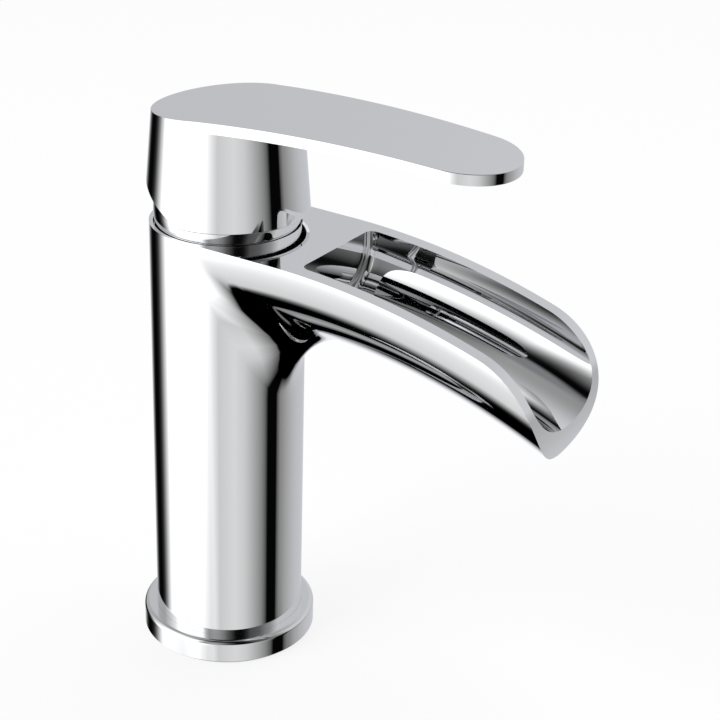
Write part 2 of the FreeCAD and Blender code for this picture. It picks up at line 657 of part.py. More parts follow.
# ---------------------------------------------------------------- lever
def lever_outline():
    """Plan of the lever: two round ends joined by tangent sides."""
    tip_x = LEVER_REACH - LEVER_TIP_RADIUS
    lean = math.asin((LEVER_ROOT_RADIUS - LEVER_TIP_RADIUS) / tip_x)

    def on_end(center_x, radius, side):
        return Vector(center_x + radius * math.sin(lean), side * radius * math.cos(lean), HUB_BOTTOM_Z)

    root_left = on_end(0, LEVER_ROOT_RADIUS, 1)
    root_right = on_end(0, LEVER_ROOT_RADIUS, -1)
    tip_left = on_end(tip_x, LEVER_TIP_RADIUS, 1)
    tip_right = on_end(tip_x, LEVER_TIP_RADIUS, -1)
    edges = [
        arc(root_left, Vector(-LEVER_ROOT_RADIUS, 0, HUB_BOTTOM_Z), root_right),
        segment(root_right, tip_right),
        arc(tip_right, Vector(LEVER_REACH, 0, HUB_BOTTOM_Z), tip_left),
        segment(tip_left, root_left),
    ]
    return Part.Wire(edges)


def lever_arch(low_radius):
    """Side view of the lever: its arched top, over either its underside or a far lower arc."""
    center_z = LEVER_TOP_Z - LEVER_ARCH_RADIUS
    rear_x = -2 * HUB_BOTTOM_RADIUS
    front_x = LEVER_REACH + LEVER_TIP_RADIUS
    top = [bow(LEVER_APEX_X, center_z, LEVER_ARCH_RADIUS, x) for x in (rear_x, LEVER_APEX_X, front_x)]
    low = [bow(LEVER_APEX_X, center_z, low_radius, x) for x in (front_x, LEVER_APEX_X, rear_x)]
    edges = [arc(*top), segment(top[2], low[0]), arc(*low), segment(low[2], top[0])]
    return across(Part.Wire(edges), 2 * HUB_BOTTOM_RADIUS)


def hub():
    """Tapered hub under the lever, sloped away at the rear so that it can tip."""
    height = LEVER_TOP_Z - HUB_BOTTOM_Z
    cone = Part.makeCone(HUB_BOTTOM_RADIUS, HUB_BOTTOM_RADIUS - HUB_TAPER * height, height,
                         Vector(0, 0, HUB_BOTTOM_Z))
    solid = cone.common(lever_arch(LEVER_ARCH_RADIUS - 2 * height))
    run = 2 * HUB_BOTTOM_RADIUS
    slope_start = (PIVOT_Z - HUB_BOTTOM_Z) / math.tan(math.radians(90 - LIFT_ANGLE / 2))
    corners = [
        Vector(slope_start, 0, HUB_BOTTOM_Z),
        Vector(slope_start - run, 0, HUB_BOTTOM_Z + run * math.tan(math.radians(LIFT_ANGLE))),
        Vector(slope_start - run, 0, HUB_BOTTOM_Z - 1),
        Vector(slope_start, 0, HUB_BOTTOM_Z - 1),
    ]
    slope = across(Part.makePolygon(corners + corners[:1]), run)
    return solid.cut(slope)


def rear_hole(radius, x_far, x_near):
    """Hole along X at the grub screw's height."""
    start = Vector(x_far, 0, GRUB_SCREW_Z)
    return Part.makeCylinder(radius, x_near - x_far, start, Vector(1, 0, 0))


def hub_radius_at(z):
    """Outer radius of the tapered hub."""
    return HUB_BOTTOM_RADIUS - HUB_TAPER * (z - HUB_BOTTOM_Z)


def lever_handle():
    """Cast lever: arched blade, hollow hub and a square socket for the spindle."""
    blade = Part.Face(lever_outline()).extrude(Vector(0, 0, 2 * LEVER_TOP_RISE))
    blade = blade.common(lever_arch(LEVER_ARCH_RADIUS - LEVER_THICKNESS))
    solid = blade.fuse(hub()).removeSplitter()
    solid = solid.cut(Part.makeSphere(HUB_CAVITY_RADIUS, Vector(0, 0, PIVOT_Z)))
    boss_z = PIVOT_Z + DOME_OPENING_RISE
    boss = cylinder(HUB_SOCKET_BOSS_RADIUS, boss_z, PIVOT_Z + HUB_CAVITY_RADIUS + 1)
    half = SPINDLE_SIDE / 2 + PIN_GAP
    socket_top = SPINDLE_TOP_Z + PIN_GAP
    plug_floor = -hub_radius_at(GRUB_SCREW_Z) + PLUG_THICKNESS
    far = -2 * HUB_BOTTOM_RADIUS
    cuts = [
        block(-half, half, -half, half, boss_z - 1, socket_top),
        rear_hole(GRUB_SCREW_RADIUS + PIN_GAP, -HUB_SOCKET_BOSS_RADIUS - 1, 0),
        rear_hole(KEY_HOLE_RADIUS, far, -HUB_SOCKET_BOSS_RADIUS),
        rear_hole(PLUG_RADIUS, far, plug_floor),
    ]
    return cut_all(solid.fuse(boss).removeSplitter(), cuts)


def handle_grub_screw():
    """Cup-point set screw, pressed on the spindle's flat."""
    screw = rear_hole(GRUB_SCREW_RADIUS, GRUB_SCREW_X - GRUB_SCREW_LENGTH, GRUB_SCREW_X)
    corner = GRUB_SCREW_HEX / 2 / math.cos(math.pi / 6)
    outer_x = GRUB_SCREW_X - GRUB_SCREW_LENGTH
    points = []
    for index in range(7):
        angle = math.pi / 3 * index
        points.append(Vector(outer_x, corner * math.cos(angle), GRUB_SCREW_Z + corner * math.sin(angle)))
    key = Part.Face(Part.makePolygon(points)).extrude(Vector(GRUB_SCREW_LENGTH / 2, 0, 0))
    return screw.cut(key)


def indicator_plug():
    """Push-in plug, flush with the hub."""
    floor = -hub_radius_at(GRUB_SCREW_Z) + PLUG_THICKNESS
    head = rear_hole(PLUG_RADIUS - PIN_GAP, -2 * HUB_BOTTOM_RADIUS, floor)
    stem = rear_hole(KEY_HOLE_RADIUS - PIN_GAP, floor - 1, floor + PLUG_THICKNESS)
    bore = rear_hole(KEY_HOLE_RADIUS / 2, floor, floor + PLUG_THICKNESS + 1)
    height = LEVER_TOP_Z - HUB_BOTTOM_Z
    cone = Part.makeCone(HUB_BOTTOM_RADIUS, HUB_BOTTOM_RADIUS - HUB_TAPER * height, height,
                         Vector(0, 0, HUB_BOTTOM_Z))
    return head.fuse(stem).common(cone).removeSplitter().cut(bore)


# ---------------------------------------------------------------- write every piece
PIECES = {
    "tap_body": tap_body,
    "base_ring": base_ring,
    "base_gasket": base_gasket,
    "body_o_ring": body_o_ring,
    "cartridge_base": port_plate,
    "cartridge_housing": cartridge_housing,
    "fixed_ceramic_disc": fixed_disc,
    "moving_ceramic_disc": moving_disc,
    "disc_carrier": disc_carrier,
    "cartridge_rotor": cartridge_rotor,
    "rotor_glide_ring": rotor_glide_ring,
    "spindle_pin": spindle_pin,
    "lever_spindle": lever_spindle,
    "temperature_limit_ring": temperature_limit_ring,
    "retaining_nut": retaining_nut,
    "dome_cover": dome_cover,
    "dome_o_ring": dome_o_ring,
    "lever_handle": lever_handle,
    "handle_grub_screw": handle_grub_screw,
    "indicator_plug": indicator_plug,
}

os.makedirs("parts", exist_ok=True)
for piece_name, make_piece in PIECES.items():
    save(piece_name, make_piece())
save("port_seals", seals(SEAT_Z, SEAT_Z + SEAL_DEPTH))
save("disc_seals", seals(PLATE_TOP_Z - SEAL_DEPTH, PLATE_TOP_Z))
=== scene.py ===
import math

import bmesh
import bpy
from mathutils import Matrix, Vector


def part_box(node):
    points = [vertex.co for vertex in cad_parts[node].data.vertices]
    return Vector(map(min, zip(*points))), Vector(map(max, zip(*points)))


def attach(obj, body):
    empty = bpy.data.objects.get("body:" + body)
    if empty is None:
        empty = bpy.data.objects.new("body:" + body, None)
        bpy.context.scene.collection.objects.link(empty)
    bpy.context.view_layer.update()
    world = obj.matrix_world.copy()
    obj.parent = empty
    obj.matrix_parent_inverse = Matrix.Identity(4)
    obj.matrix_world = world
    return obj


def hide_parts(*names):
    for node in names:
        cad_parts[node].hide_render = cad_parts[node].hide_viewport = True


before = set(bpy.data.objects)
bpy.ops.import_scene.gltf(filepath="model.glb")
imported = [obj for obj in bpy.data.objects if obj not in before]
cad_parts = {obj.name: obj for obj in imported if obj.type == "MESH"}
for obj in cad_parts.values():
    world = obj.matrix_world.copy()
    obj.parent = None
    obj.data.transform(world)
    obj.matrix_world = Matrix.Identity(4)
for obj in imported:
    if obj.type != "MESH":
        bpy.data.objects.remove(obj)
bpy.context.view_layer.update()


# ------------------------------------------------------------------ tap body
# Pillar and open trough spout: one brass casting, ground, buffed and chrome plated. The spout's
# belly runs into the pillar over a wide hollow fillet, its top edge and mouth are milled to one
# long curve, and it is bored for the cartridge, the water, the hoses and the fixing stud.
MM = 0.001


class Sock:
    """A node's output that can be used in sums: numbers and other outputs mix freely."""

    def __init__(self, shader, socket):
        self.shader = shader
        self.socket = socket

    def math(self, operation, first, second):
        return self.shader.node("ShaderNodeMath", {"operation": operation}, {0: first, 1: second})

    def __add__(self, other):
        return self.math("ADD", self, other)

    def __radd__(self, other):
        return self.math("ADD", other, self)

    def __sub__(self, other):
        return self.math("SUBTRACT", self, other)

    def __rsub__(self, other):
        return self.math("SUBTRACT", other, self)

    def __mul__(self, other):
        return self.math("MULTIPLY", self, other)

    def __rmul__(self, other):
        return self.math("MULTIPLY", other, self)


class Shader:
    """A node tree being filled, for a material or for the world."""

    def __init__(self, owner):
        owner.use_nodes = True
        self.tree = owner.node_tree
        self.tree.nodes.clear()

    def node(self, kind, settings=None, inputs=None, output=0):
        """Adds one node: its settings first, then values or links for its sockets."""
        made = self.tree.nodes.new(kind)
        for name, value in (settings or {}).items():
            if name == "stops":
                fill_ramp(made.color_ramp, value)
            else:
                setattr(made, name, value)
        for key, value in (inputs or {}).items():
            if isinstance(value, Sock):
                self.tree.links.new(value.socket, made.inputs[key])
            elif value is not None:
                made.inputs[key].default_value = value
        if output is None:
            return made
        return Sock(self, made.outputs[output])


def fill_ramp(ramp, stops):
    """Sets a colour ramp's stops from (place, grey or colour) pairs."""
    while len(ramp.elements) > 1:
        ramp.elements.remove(ramp.elements[-1])
    for number, (place, colour) in enumerate(stops):
        stop = ramp.elements[0] if number == 0 else ramp.elements.new(place)
        stop.position = place
        if isinstance(colour, (int, float)):
            colour = (colour, colour, colour)
        stop.color = (*colour, 1.0)


def chrome(name):
    """Plating over buffed brass: mirror metal, with the wheel's faint trace in gloss and normal."""
    material = bpy.data.materials.new(name)
    shader = Shader(material)
    place = shader.node("ShaderNodeTexCoord", output="Object")
    waves = shader.node("ShaderNodeTexNoise", {}, {"Vector": place, "Scale": 60.0, "Detail": 2.0})
    haze = shader.node("ShaderNodeTexNoise", {}, {"Vector": place, "Scale": 900.0, "Detail": 3.0})
    dimples = shader.node("ShaderNodeBump", {}, {
        "Strength": 0.02, "Distance": 0.2 * MM, "Height": waves})
    surface = shader.node("ShaderNodeBsdfPrincipled", {}, {
        "Base Color": (0.90, 0.905, 0.915, 1.0),
        "Metallic": 1.0,
        "Roughness": 0.018 + haze * 0.02,
        "Normal": dimples,
    })
    shader.node("ShaderNodeOutputMaterial", {}, {"Surface": surface}, output=None)
    return material


chrome_finish = chrome("chrome_plating")

body_low, body_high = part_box("tap_body")
pillar_radius = -body_low.x
pillar_top = body_high.z
pillar_foot = body_low.z
spout_reach = body_high.x
blank_top = pillar_top + 14 * MM
fillet_radius = 24 * MM
root_half_width = 22.8 * MM
tip_half_width = 21.6 * MM
belly_depth = 26.3 * MM
belly_power = 1.77
keel_apex = Vector((31.9 * MM, 0, pillar_top - 26 * MM))
keel_radius = 200 * MM
belly_steps = 30
wall_steps = 5
touching = 0.001 * MM


def arched(x, apex, radius):
    """Height of a shallow arch that is highest at its apex."""
    return apex.z - radius + math.sqrt(radius ** 2 - (x - apex.x) ** 2)


def spout_skin(x, number):
    """Point on the spout's outside: number 0 is the keel, belly_steps the widest line."""
    half_width = root_half_width + (tip_half_width - root_half_width) * x / spout_reach
    keel = arched(x, keel_apex, keel_radius)
    turn = math.pi / 2 * min(number / belly_steps, 1)
    y = half_width * math.sin(turn) ** (2 / belly_power)
    z = keel + belly_depth * (1 - max(math.cos(turn), 0) ** (2 / belly_power))
    if number > belly_steps:
        z += (blank_top - z) * (number - belly_steps) / wall_steps
    return Vector((x, y, z))


def skin_normal(x, number):
    """Outward direction of the spout's outside."""
    step = 0.05 * MM
    part_step = 0.01
    along = spout_skin(x + step, number) - spout_skin(x - step, number)
    if number == 0:
        round_it = Vector((0, 1, 0))
    elif number >= belly_steps:
        round_it = Vector((0, 0, 1))
    else:
        round_it = spout_skin(x, number + part_step) - spout_skin(x, number - part_step)
    return along.cross(round_it).normalized() * -1


def fillet_ball(number):
    """Where a ball of the fillet's radius touches both spout and pillar: place x and its centre."""
    low = 0.2 * MM
    high = 90 * MM
    for halving in range(50):
        x = (low + high) / 2
        center = spout_skin(x, number) + skin_normal(x, number) * fillet_radius
        if center.xy.length < pillar_radius + fillet_radius:
            low = x
        else:
            high = x
    return x, center


def sweep(mesh, numbers, edges, steps, place):
    """Extrudes a chain of edges step by step; place(step, number) says where each point goes."""
    for step in range(1, steps + 1):
        made = bmesh.ops.extrude_edge_only(mesh, edges=edges)["geom"]
        fresh = {part for part in made if isinstance(part, bmesh.types.BMVert)}
        for vert in fresh:
            vert.co = place(step, vert[numbers])
        edges = [part for part in made if isinstance(part, bmesh.types.BMEdge)
                 and part.verts[0] in fresh and part.verts[1] in fresh]
    return edges


def chain(mesh, numbers, places):
    """Open line of points, numbered from 0."""
    verts = []
    for number, place in enumerate(places):
        vert = mesh.verts.new(place)
        vert[numbers] = number
        verts.append(vert)
    return [mesh.edges.new(pair) for pair in zip(verts, verts[1:])]


def tap_blank():
    """Outside of pillar and spout as one closed skin, taller and longer than the finished body."""
    skin = bmesh.new()
    numbers = skin.verts.layers.int.new("number")
    last = belly_steps + wall_steps
    balls = [fillet_ball(number) for number in range(last + 1)]
    far_x = spout_reach + 6 * MM
    run_steps = 60
    fillet_steps = 14
    drop_steps = 26
    round_steps = 56

    def along_spout(step, number):
        share = step / run_steps
        return spout_skin(far_x + (balls[number][0] - far_x) * share, number)

    def round_fillet(step, number):
        x, center = balls[number]
        start = spout_skin(x, number) - center
        end = center.copy()
        end.z = 0
        end = end.normalized() * -fillet_radius
        turn = start.angle(end)
        share = step / fillet_steps
        side = start * math.sin((1 - share) * turn) + end * math.sin(share * turn)
        return center + side / math.sin(turn)

    def down_pillar(step, number):
        place = round_fillet(fillet_steps, number)
        place.z += (pillar_foot - place.z) * step / drop_steps
        return place

    def round_back(step, number):
        place = flank[number]
        start = math.atan2(place.y, place.x)
        angle = start + (math.pi - start) * step / round_steps
        return Vector((pillar_radius * math.cos(angle), pillar_radius * math.sin(angle), place.z))

    mouth = chain(skin, numbers, [spout_skin(far_x, number) for number in range(last + 1)])
    root = sweep(skin, numbers, mouth, run_steps, along_spout)
    seam = sweep(skin, numbers, root, fillet_steps, round_fillet)
    belly_seam = [edge for edge in seam if max(vert[numbers] for vert in edge.verts) <= belly_steps]
    wall_seam = [edge for edge in seam if edge not in belly_seam]
    sweep(skin, numbers, belly_seam, drop_steps, down_pillar)
    flank_x = round_fillet(fillet_steps, belly_steps).x
    flank_edges = list(wall_seam)
    beside = 10 * touching
    for edge in skin.edges:
        ends = [vert for vert in edge.verts if abs(vert.co.x - flank_x) < beside
                and abs(vert.co.xy.length - pillar_radius) < beside and vert.co.y > 0]
        if len(ends) == 2 and edge.is_boundary and edge not in flank_edges:
            flank_edges.append(edge)
    flank = {}
    for vert in {vert for edge in flank_edges for vert in edge.verts}:
        flank[len(flank)] = vert.co.copy()
        vert[numbers] = len(flank) - 1
    sweep(skin, numbers, flank_edges, round_steps, round_back)
    bmesh.ops.mirror(skin, geom=skin.verts[:] + skin.edges[:] + skin.faces[:], axis="Y",
                     merge_dist=touching)
    bmesh.ops.remove_doubles(skin, verts=skin.verts, dist=touching)
    corners = [vert for vert in skin.verts
               if vert.co.x > far_x - touching and vert.co.z > blank_top - touching]
    lid = skin.edges.new(corners)
    open_edges = [edge for edge in skin.edges if edge.is_boundary]
    at_mouth = [edge for edge in open_edges
                if all(vert.co.x > far_x - touching for vert in edge.verts)]
    at_foot = [edge for edge in open_edges
               if all(vert.co.z < pillar_foot + touching for vert in edge.verts)]
    at_top = [edge for edge in open_edges if edge not in at_mouth and edge not in at_foot]
    for loop in (at_mouth + [lid], at_foot, at_top + [lid]):
        bmesh.ops.contextual_create(skin, geom=loop)
    bmesh.ops.recalc_face_normals(skin, faces=skin.faces)
    return solid_object("tap_body_skin", skin)


def solid_object(name, mesh):
    """Turns a bmesh into an object in the scene."""
    data = bpy.data.meshes.new(name)
    mesh.to_mesh(data)
    mesh.free()
    made = bpy.data.objects.new(name, data)
    bpy.context.scene.collection.objects.link(made)
    return made


def cut(target, tools, operation="DIFFERENCE"):
    """Takes each tool out of the target, or joins it on, and throws the tool away."""
    for tool in tools:
        modifier = target.modifiers.new("cut", "BOOLEAN")
        modifier.operation = operation
        modifier.solver = "EXACT"
        modifier.object = tool
        bpy.context.view_layer.update()
        finished = target.evaluated_get(bpy.context.evaluated_depsgraph_get())
        old = target.data
        target.data = bpy.data.meshes.new_from_object(finished)
        target.modifiers.clear()
        bpy.data.meshes.remove(old)
        bpy.data.objects.remove(tool)


def drill(radius, low, high, x=0.0, y=0.0, sides=160):
    """Upright round cutter."""
    tool = bmesh.new()
    place = Matrix.Translation((x, y, (low + high) / 2))
    bmesh.ops.create_cone(tool, cap_ends=True, segments=sides, radius1=radius, radius2=radius,
                          depth=high - low, matrix=place)
    return solid_object("drill", tool)


def slab_cutter(outline, half_width):
    """Cutter with a side view in the XZ plane, drawn across the object's width."""
    tool = bmesh.new()
    verts = [tool.verts.new((x, -half_width, z)) for x, z in outline]
    face = tool.faces.new(verts)
    made = bmesh.ops.extrude_face_region(tool, geom=[face])["geom"]
    moved = [part for part in made if isinstance(part, bmesh.types.BMVert)]
    bmesh.ops.translate(tool, verts=moved, vec=(0, 2 * half_width, 0))
    bmesh.ops.recalc_face_normals(tool, faces=tool.faces)
    return solid_object("slab_cutter", tool)


def prism(name, outline, low, high):
    """Upright solid between two heights from its plan."""
    made = bmesh.new()
    face = made.faces.new([made.verts.new((x, y, low)) for x, y in outline])
    raised = bmesh.ops.extrude_face_region(made, geom=[face])["geom"]
    moved = [part for part in raised if isinstance(part, bmesh.types.BMVert)]
    bmesh.ops.translate(made, verts=moved, vec=(0, 0, high - low))
    bmesh.ops.recalc_face_normals(made, faces=made.faces)
    return solid_object(name, made)


arch_radius = 230 * MM
nose_radius = 24.5 * MM
flat_end = 29.5 * MM


def top_mill():
    """Everything above the milled top edge and in front of the round nose."""
    behind = -40 * MM
    beyond = 150 * MM
    over = 180 * MM
    nose_turn = math.radians(160)
    arch_steps = 48
    nose_steps = 72
    nose_x = spout_reach - nose_radius
    lean = math.asin((nose_x - flat_end) / (arch_radius - nose_radius))
    nose_z = pillar_top - arch_radius + (arch_radius - nose_radius) * math.cos(lean)
    outline = [(behind, pillar_top), (flat_end, pillar_top)]
    for step in range(1, arch_steps + 1):
        angle = lean * step / arch_steps
        outline.append((flat_end + arch_radius * math.sin(angle),
                        pillar_top - arch_radius + arch_radius * math.cos(angle)))
    for step in range(1, nose_steps + 1):
        angle = lean + (nose_turn - lean) * step / nose_steps
        outline.append((nose_x + nose_radius * math.sin(angle),
                        nose_z + nose_radius * math.cos(angle)))
    outline += [(beyond, outline[-1][1]), (beyond, over), (behind, over)]
    return slab_cutter(outline, -behind)


trough_start = 38 * MM
trough_half_width = 17.75 * MM
trough_belly = 13.5 * MM
trough_power = 2.08
trough_apex = Vector((28 * MM, 0, pillar_top - 17.6 * MM))
trough_radius = 243 * MM
trough_corner = 2.5 * MM


def trough_mill():
    """Long ball-nosed groove with a rounded corner against its upright rear wall."""
    tool = bmesh.new()
    numbers = tool.verts.layers.int.new("number")
    steps = 28
    walls = 3
    last = steps + walls
    corner_steps = 8
    run_steps = 56
    far_x = spout_reach + 12 * MM
    lid_z = blank_top + 10 * MM

    def groove(x, number, inset):
        turn = math.pi / 2 * min(number / steps, 1)
        out = math.sin(turn) ** (2 / trough_power)
        down = max(math.cos(turn), 0) ** (2 / trough_power)
        y = trough_half_width * out
        z = arched(x, trough_apex, trough_radius) + trough_belly * (1 - down)
        if number > steps:
            z += (lid_z - z) * (number - steps) / walls
        normal = Vector((0, out / trough_half_width, -down / trough_belly)).normalized()
        return Vector((x, y, z)) - inset * normal

    def backwards(step, number):
        share = step / run_steps
        return groove(far_x + (trough_start + trough_corner - far_x) * share, number, 0)

    def round_corner(step, number):
        angle = math.pi / 2 * step / corner_steps
        inset = trough_corner * (1 - math.cos(angle))
        return groove(trough_start + trough_corner * (1 - math.sin(angle)), number, inset)

    mouth = chain(tool, numbers, [groove(far_x, number, 0) for number in range(last + 1)])
    rear = sweep(tool, numbers, mouth, run_steps, backwards)
    sweep(tool, numbers, rear, corner_steps, round_corner)
    bmesh.ops.mirror(tool, geom=tool.verts[:] + tool.edges[:] + tool.faces[:], axis="Y",
                     merge_dist=touching)
    bmesh.ops.remove_doubles(tool, verts=tool.verts, dist=touching)
    front = [vert for vert in tool.verts if vert.co.x > far_x - touching]
    back = [vert for vert in tool.verts if vert.co.x < trough_start + touching]
    lids = []
    for group in (front, back):
        highest = sorted(group, key=lambda vert: vert.co.z)[-2:]
        lids.append(tool.edges.new(highest))
    open_edges = [edge for edge in tool.edges if edge.is_boundary]
    at_front = [edge for edge in open_edges if all(vert in front for vert in edge.verts)]
    at_back = [edge for edge in open_edges if all(vert in back for vert in edge.verts)]
    at_top = [edge for edge in open_edges if edge not in at_front and edge not in at_back]
    for loop in (at_front + lids[:1], at_back + lids[1:], at_top + lids):
        bmesh.ops.contextual_create(tool, geom=loop)
    bmesh.ops.recalc_face_normals(tool, faces=tool.faces)
    return solid_object("trough_mill", tool)


def sharp_edges(mesh, angle):
    """Edges where the surface turns by more than an angle."""
    return [edge for edge in mesh.edges if edge.is_manifold and edge.calc_face_angle() > angle]


def joined_groups(edges):
    """Splits edges into groups that touch each other."""
    waiting = dict.fromkeys(edges)
    groups = []
    while waiting:
        group = [waiting.popitem()[0]]
        for edge in group:
            for vert in edge.verts:
                for near in vert.link_edges:
                    if near in waiting:
                        del waiting[near]
                        group.append(near)
        groups.append(group)
    return groups


def listed_by_place(data):
    """The same mesh with points and faces sorted by place: a Boolean's order varies each run."""
    mesh = bmesh.new()
    order = sorted(data.vertices, key=lambda vert: tuple(vert.co))
    rank = {vert.index: number for number, vert in enumerate(order)}
    verts = [mesh.verts.new(vert.co) for vert in order]
    rings = []
    for face in data.polygons:
        ring = [rank[index] for index in face.vertices]
        first = ring.index(min(ring))
        rings.append(ring[first:] + ring[:first])
    for ring in sorted(rings):
        mesh.faces.new([verts[number] for number in ring])
    return mesh


sharp_turn = math.radians(32)
folded_turn = math.radians(150)
edge_rounding = 0.3 * MM
sliver_width = 1.4 * edge_rounding
short_edge = 0.4 * edge_rounding
seam_gap = 0.004 * MM
speck = 0.002 * MM


def soften(target):
    """Rounds every sharp edge a little, after clearing slivers beside it that leave no room."""
    mesh = listed_by_place(target.data)
    bmesh.ops.remove_doubles(mesh, verts=mesh.verts, dist=seam_gap)
    bmesh.ops.dissolve_degenerate(mesh, dist=speck, edges=mesh.edges)
    rim = dict.fromkeys(vert for edge in sharp_edges(mesh, sharp_turn) for vert in edge.verts)
    moved = {}
    for vert in rim:
        for edge in vert.link_edges:
            other = edge.other_vert(vert)
            if other not in rim and other not in moved and edge.calc_length() < sliver_width:
                moved[other] = vert
    bmesh.ops.weld_verts(mesh, targetmap=moved)
    short = [edge for edge in sharp_edges(mesh, sharp_turn) if edge.calc_length() < short_edge]
    bmesh.ops.collapse(mesh, edges=short)
    bmesh.ops.dissolve_degenerate(mesh, dist=speck, edges=mesh.edges)
    bmesh.ops.dissolve_edges(mesh, edges=sharp_edges(mesh, folded_turn), use_verts=True)
    for group in joined_groups(sharp_edges(mesh, sharp_turn)):
        bmesh.ops.bevel(mesh, geom=group, offset=edge_rounding, offset_type="OFFSET",
                        affect="EDGES", segments=3, profile=0.5, material=-1, clamp_overlap=True)
    mesh.to_mesh(target.data)
    mesh.free()
    shade_smooth(target)


def shade_smooth(target):
    """Smooth shading in which the large faces and the true corners keep their own direction."""
    true_corner = math.radians(40)
    for face in target.data.polygons:
        face.use_smooth = True
    target.data.set_sharp_from_angle(angle=true_corner)
    shading = target.modifiers.new("shading", "WEIGHTED_NORMAL")
    shading.weight = 90
    shading.keep_sharp = True


outlet_x = -7.5 * MM


def water_way():
    """Flat funnel under the cartridge that rises into the rear of the trough through a slot."""
    narrow = 3.8 * MM
    wide = 7.5 * MM
    widen = 10.5 * MM
    slot_start = trough_start + MM
    slot_end = slot_start + 4.5 * MM
    floor_z = pillar_top - 22.9 * MM
    funnel_top = floor_z + 4 * MM
    slot_top = floor_z + 17.5 * MM
    half = [(outlet_x, narrow), (widen, narrow), (widen + wide, wide), (slot_end, wide)]
    funnel = prism("funnel", [(x, -y) for x, y in half] + half[::-1], floor_z, funnel_top)
    slot = [(slot_start, -wide), (slot_end, -wide), (slot_end, wide), (slot_start, wide)]
    cut(funnel, [prism("slot", slot, floor_z, slot_top)], "UNION")
    return funnel


close_fit = 0.02 * MM
above = pillar_top + 20 * MM
dome_low, dome_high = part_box("dome_cover")
dome_play = 0.05 * MM
nut_low, nut_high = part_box("retaining_nut")
nut_thread = 0.2 * MM
thread_runout = 0.3 * MM
cartridge_bore = 17.6 * MM
cartridge_seat = pillar_top - 16.2 * MM
peg_hole = 1.6 * MM
peg_depth = 2.8 * MM
peg_x = -2 * MM
peg_y = 14.2 * MM
outlet_bore = 3.4 * MM
outlet_depth = 5.7 * MM
foot_wall = 3.5 * MM
foot_ceiling = pillar_foot + 9.5 * MM
stud_tap = 3.4 * MM
stud_depth = 28 * MM
stud_x = -12 * MM
hose_tap = 4.5 * MM
hose_top = foot_ceiling + 14 * MM
hose_x = 4 * MM
hose_y = 8 * MM
inlet_bore = 2.8 * MM
seal_low, seal_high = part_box("body_o_ring")
seal_section = seal_high.z - seal_low.z

seal_groove = drill(pillar_radius + MM, seal_low.z, seal_high.z)
cut(seal_groove, [drill(seal_high.x - seal_section, seal_low.z - MM, seal_high.z + MM)])
tap_body = tap_blank()
cut(tap_body, [
    top_mill(),
    trough_mill(),
    water_way(),
    drill(dome_high.y + close_fit, dome_low.z - dome_play, above),
    drill(nut_high.x - nut_thread, nut_low.z - thread_runout, above),
    drill(cartridge_bore, cartridge_seat, above),
    drill(pillar_radius - foot_wall, pillar_foot - 5 * MM, foot_ceiling),
    drill(stud_tap, foot_ceiling - MM, foot_ceiling + stud_depth, x=stud_x, sides=48),
    drill(outlet_bore, cartridge_seat - outlet_depth, cartridge_seat + MM, x=outlet_x, sides=48),
    seal_groove,
])
for side in (-1, 1):
    cut(tap_body, [
        drill(hose_tap, foot_ceiling - MM, hose_top, x=hose_x, y=side * hose_y, sides=48),
        drill(inlet_bore, hose_top - MM, cartridge_seat + MM, x=hose_x, y=side * hose_y, sides=48),
        drill(peg_hole, cartridge_seat - peg_depth, cartridge_seat + MM,
              x=peg_x, y=side * peg_y, sides=32),
    ])
soften(tap_body)
tap_body.data.materials.clear()
tap_body.data.materials.append(chrome_finish)
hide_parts("tap_body")
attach(tap_body, "tap")


# ------------------------------------------------------------------ base ring
# Turned brass ring, chrome plated, that the pillar stands in. Its top edge is rounded, and a
# groove in its underside holds the rubber that seals it to the basin.
ring_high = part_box("base_ring")[1]


def turned(name, outline, steps=192):
    """Closed ring or shell turned from a closed side outline of (radius, height) points."""
    mesh = bmesh.new()
    verts = [mesh.verts.new((radius, 0, z)) for radius, z in outline]
    edges = [mesh.edges.new(pair) for pair in zip(verts, verts[1:] + verts[:1])]
    bmesh.ops.spin(mesh, geom=verts + edges, cent=(0, 0, 0), axis=(0, 0, 1), angle=2 * math.pi,
                   steps=steps, use_merge=True)
    bmesh.ops.remove_doubles(mesh, verts=mesh.verts, dist=touching)
    bmesh.ops.recalc_face_normals(mesh, faces=mesh.faces)
    made = solid_object(name, mesh)
    shade_smooth(made)
    return made


def rounded(center_radius, center_z, radius, start, end, steps=10):
    """Points on a quarter or so of a circle, angles in degrees from the horizontal."""
    points = []
    for step in range(steps + 1):
        angle = math.radians(start + (end - start) * step / steps)
        points.append((center_radius + radius * math.cos(angle),
                       center_z + radius * math.sin(angle)))
    return points


ring_radius = ring_high.x
ring_bore = pillar_radius - 2.5 * MM
ring_seat = pillar_radius + close_fit
ring_edge = 1.6 * MM
foot_edge = 0.4 * MM
gasket_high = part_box("base_gasket")[1]
groove_outer = gasket_high.x + 0.1 * MM
groove_inner = gasket_high.x - 2.1 * MM
groove_depth = gasket_high.z + 0.05 * MM
outline = [
    (ring_bore, 0), (groove_inner, 0), (groove_inner, groove_depth), (groove_outer, groove_depth),
    (groove_outer, 0), (ring_radius - foot_edge, 0), (ring_radius, foot_edge),
]
outline += rounded(ring_radius - ring_edge, ring_high.z - ring_edge, ring_edge, 0, 90)
outline += [(ring_seat, ring_high.z), (ring_seat, pillar_foot), (ring_bore, pillar_foot)]
base_ring = turned("base_ring_skin", outline)
base_ring.data.materials.append(chrome_finish)
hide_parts("base_ring")
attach(base_ring, "tap")


# ------------------------------------------------------------------ rubber seals
# A flat ring under the base, an O-ring in the pillar's foot, small flat rings round the ports
# and an O-ring inside the dome: moulded black rubber, matt, with a faint bloom.
def dress(names, material):
    """Gives carried-over pieces their finish in every slot."""
    for name in names:
        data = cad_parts[name].data
        data.materials.clear()
        data.materials.append(material)


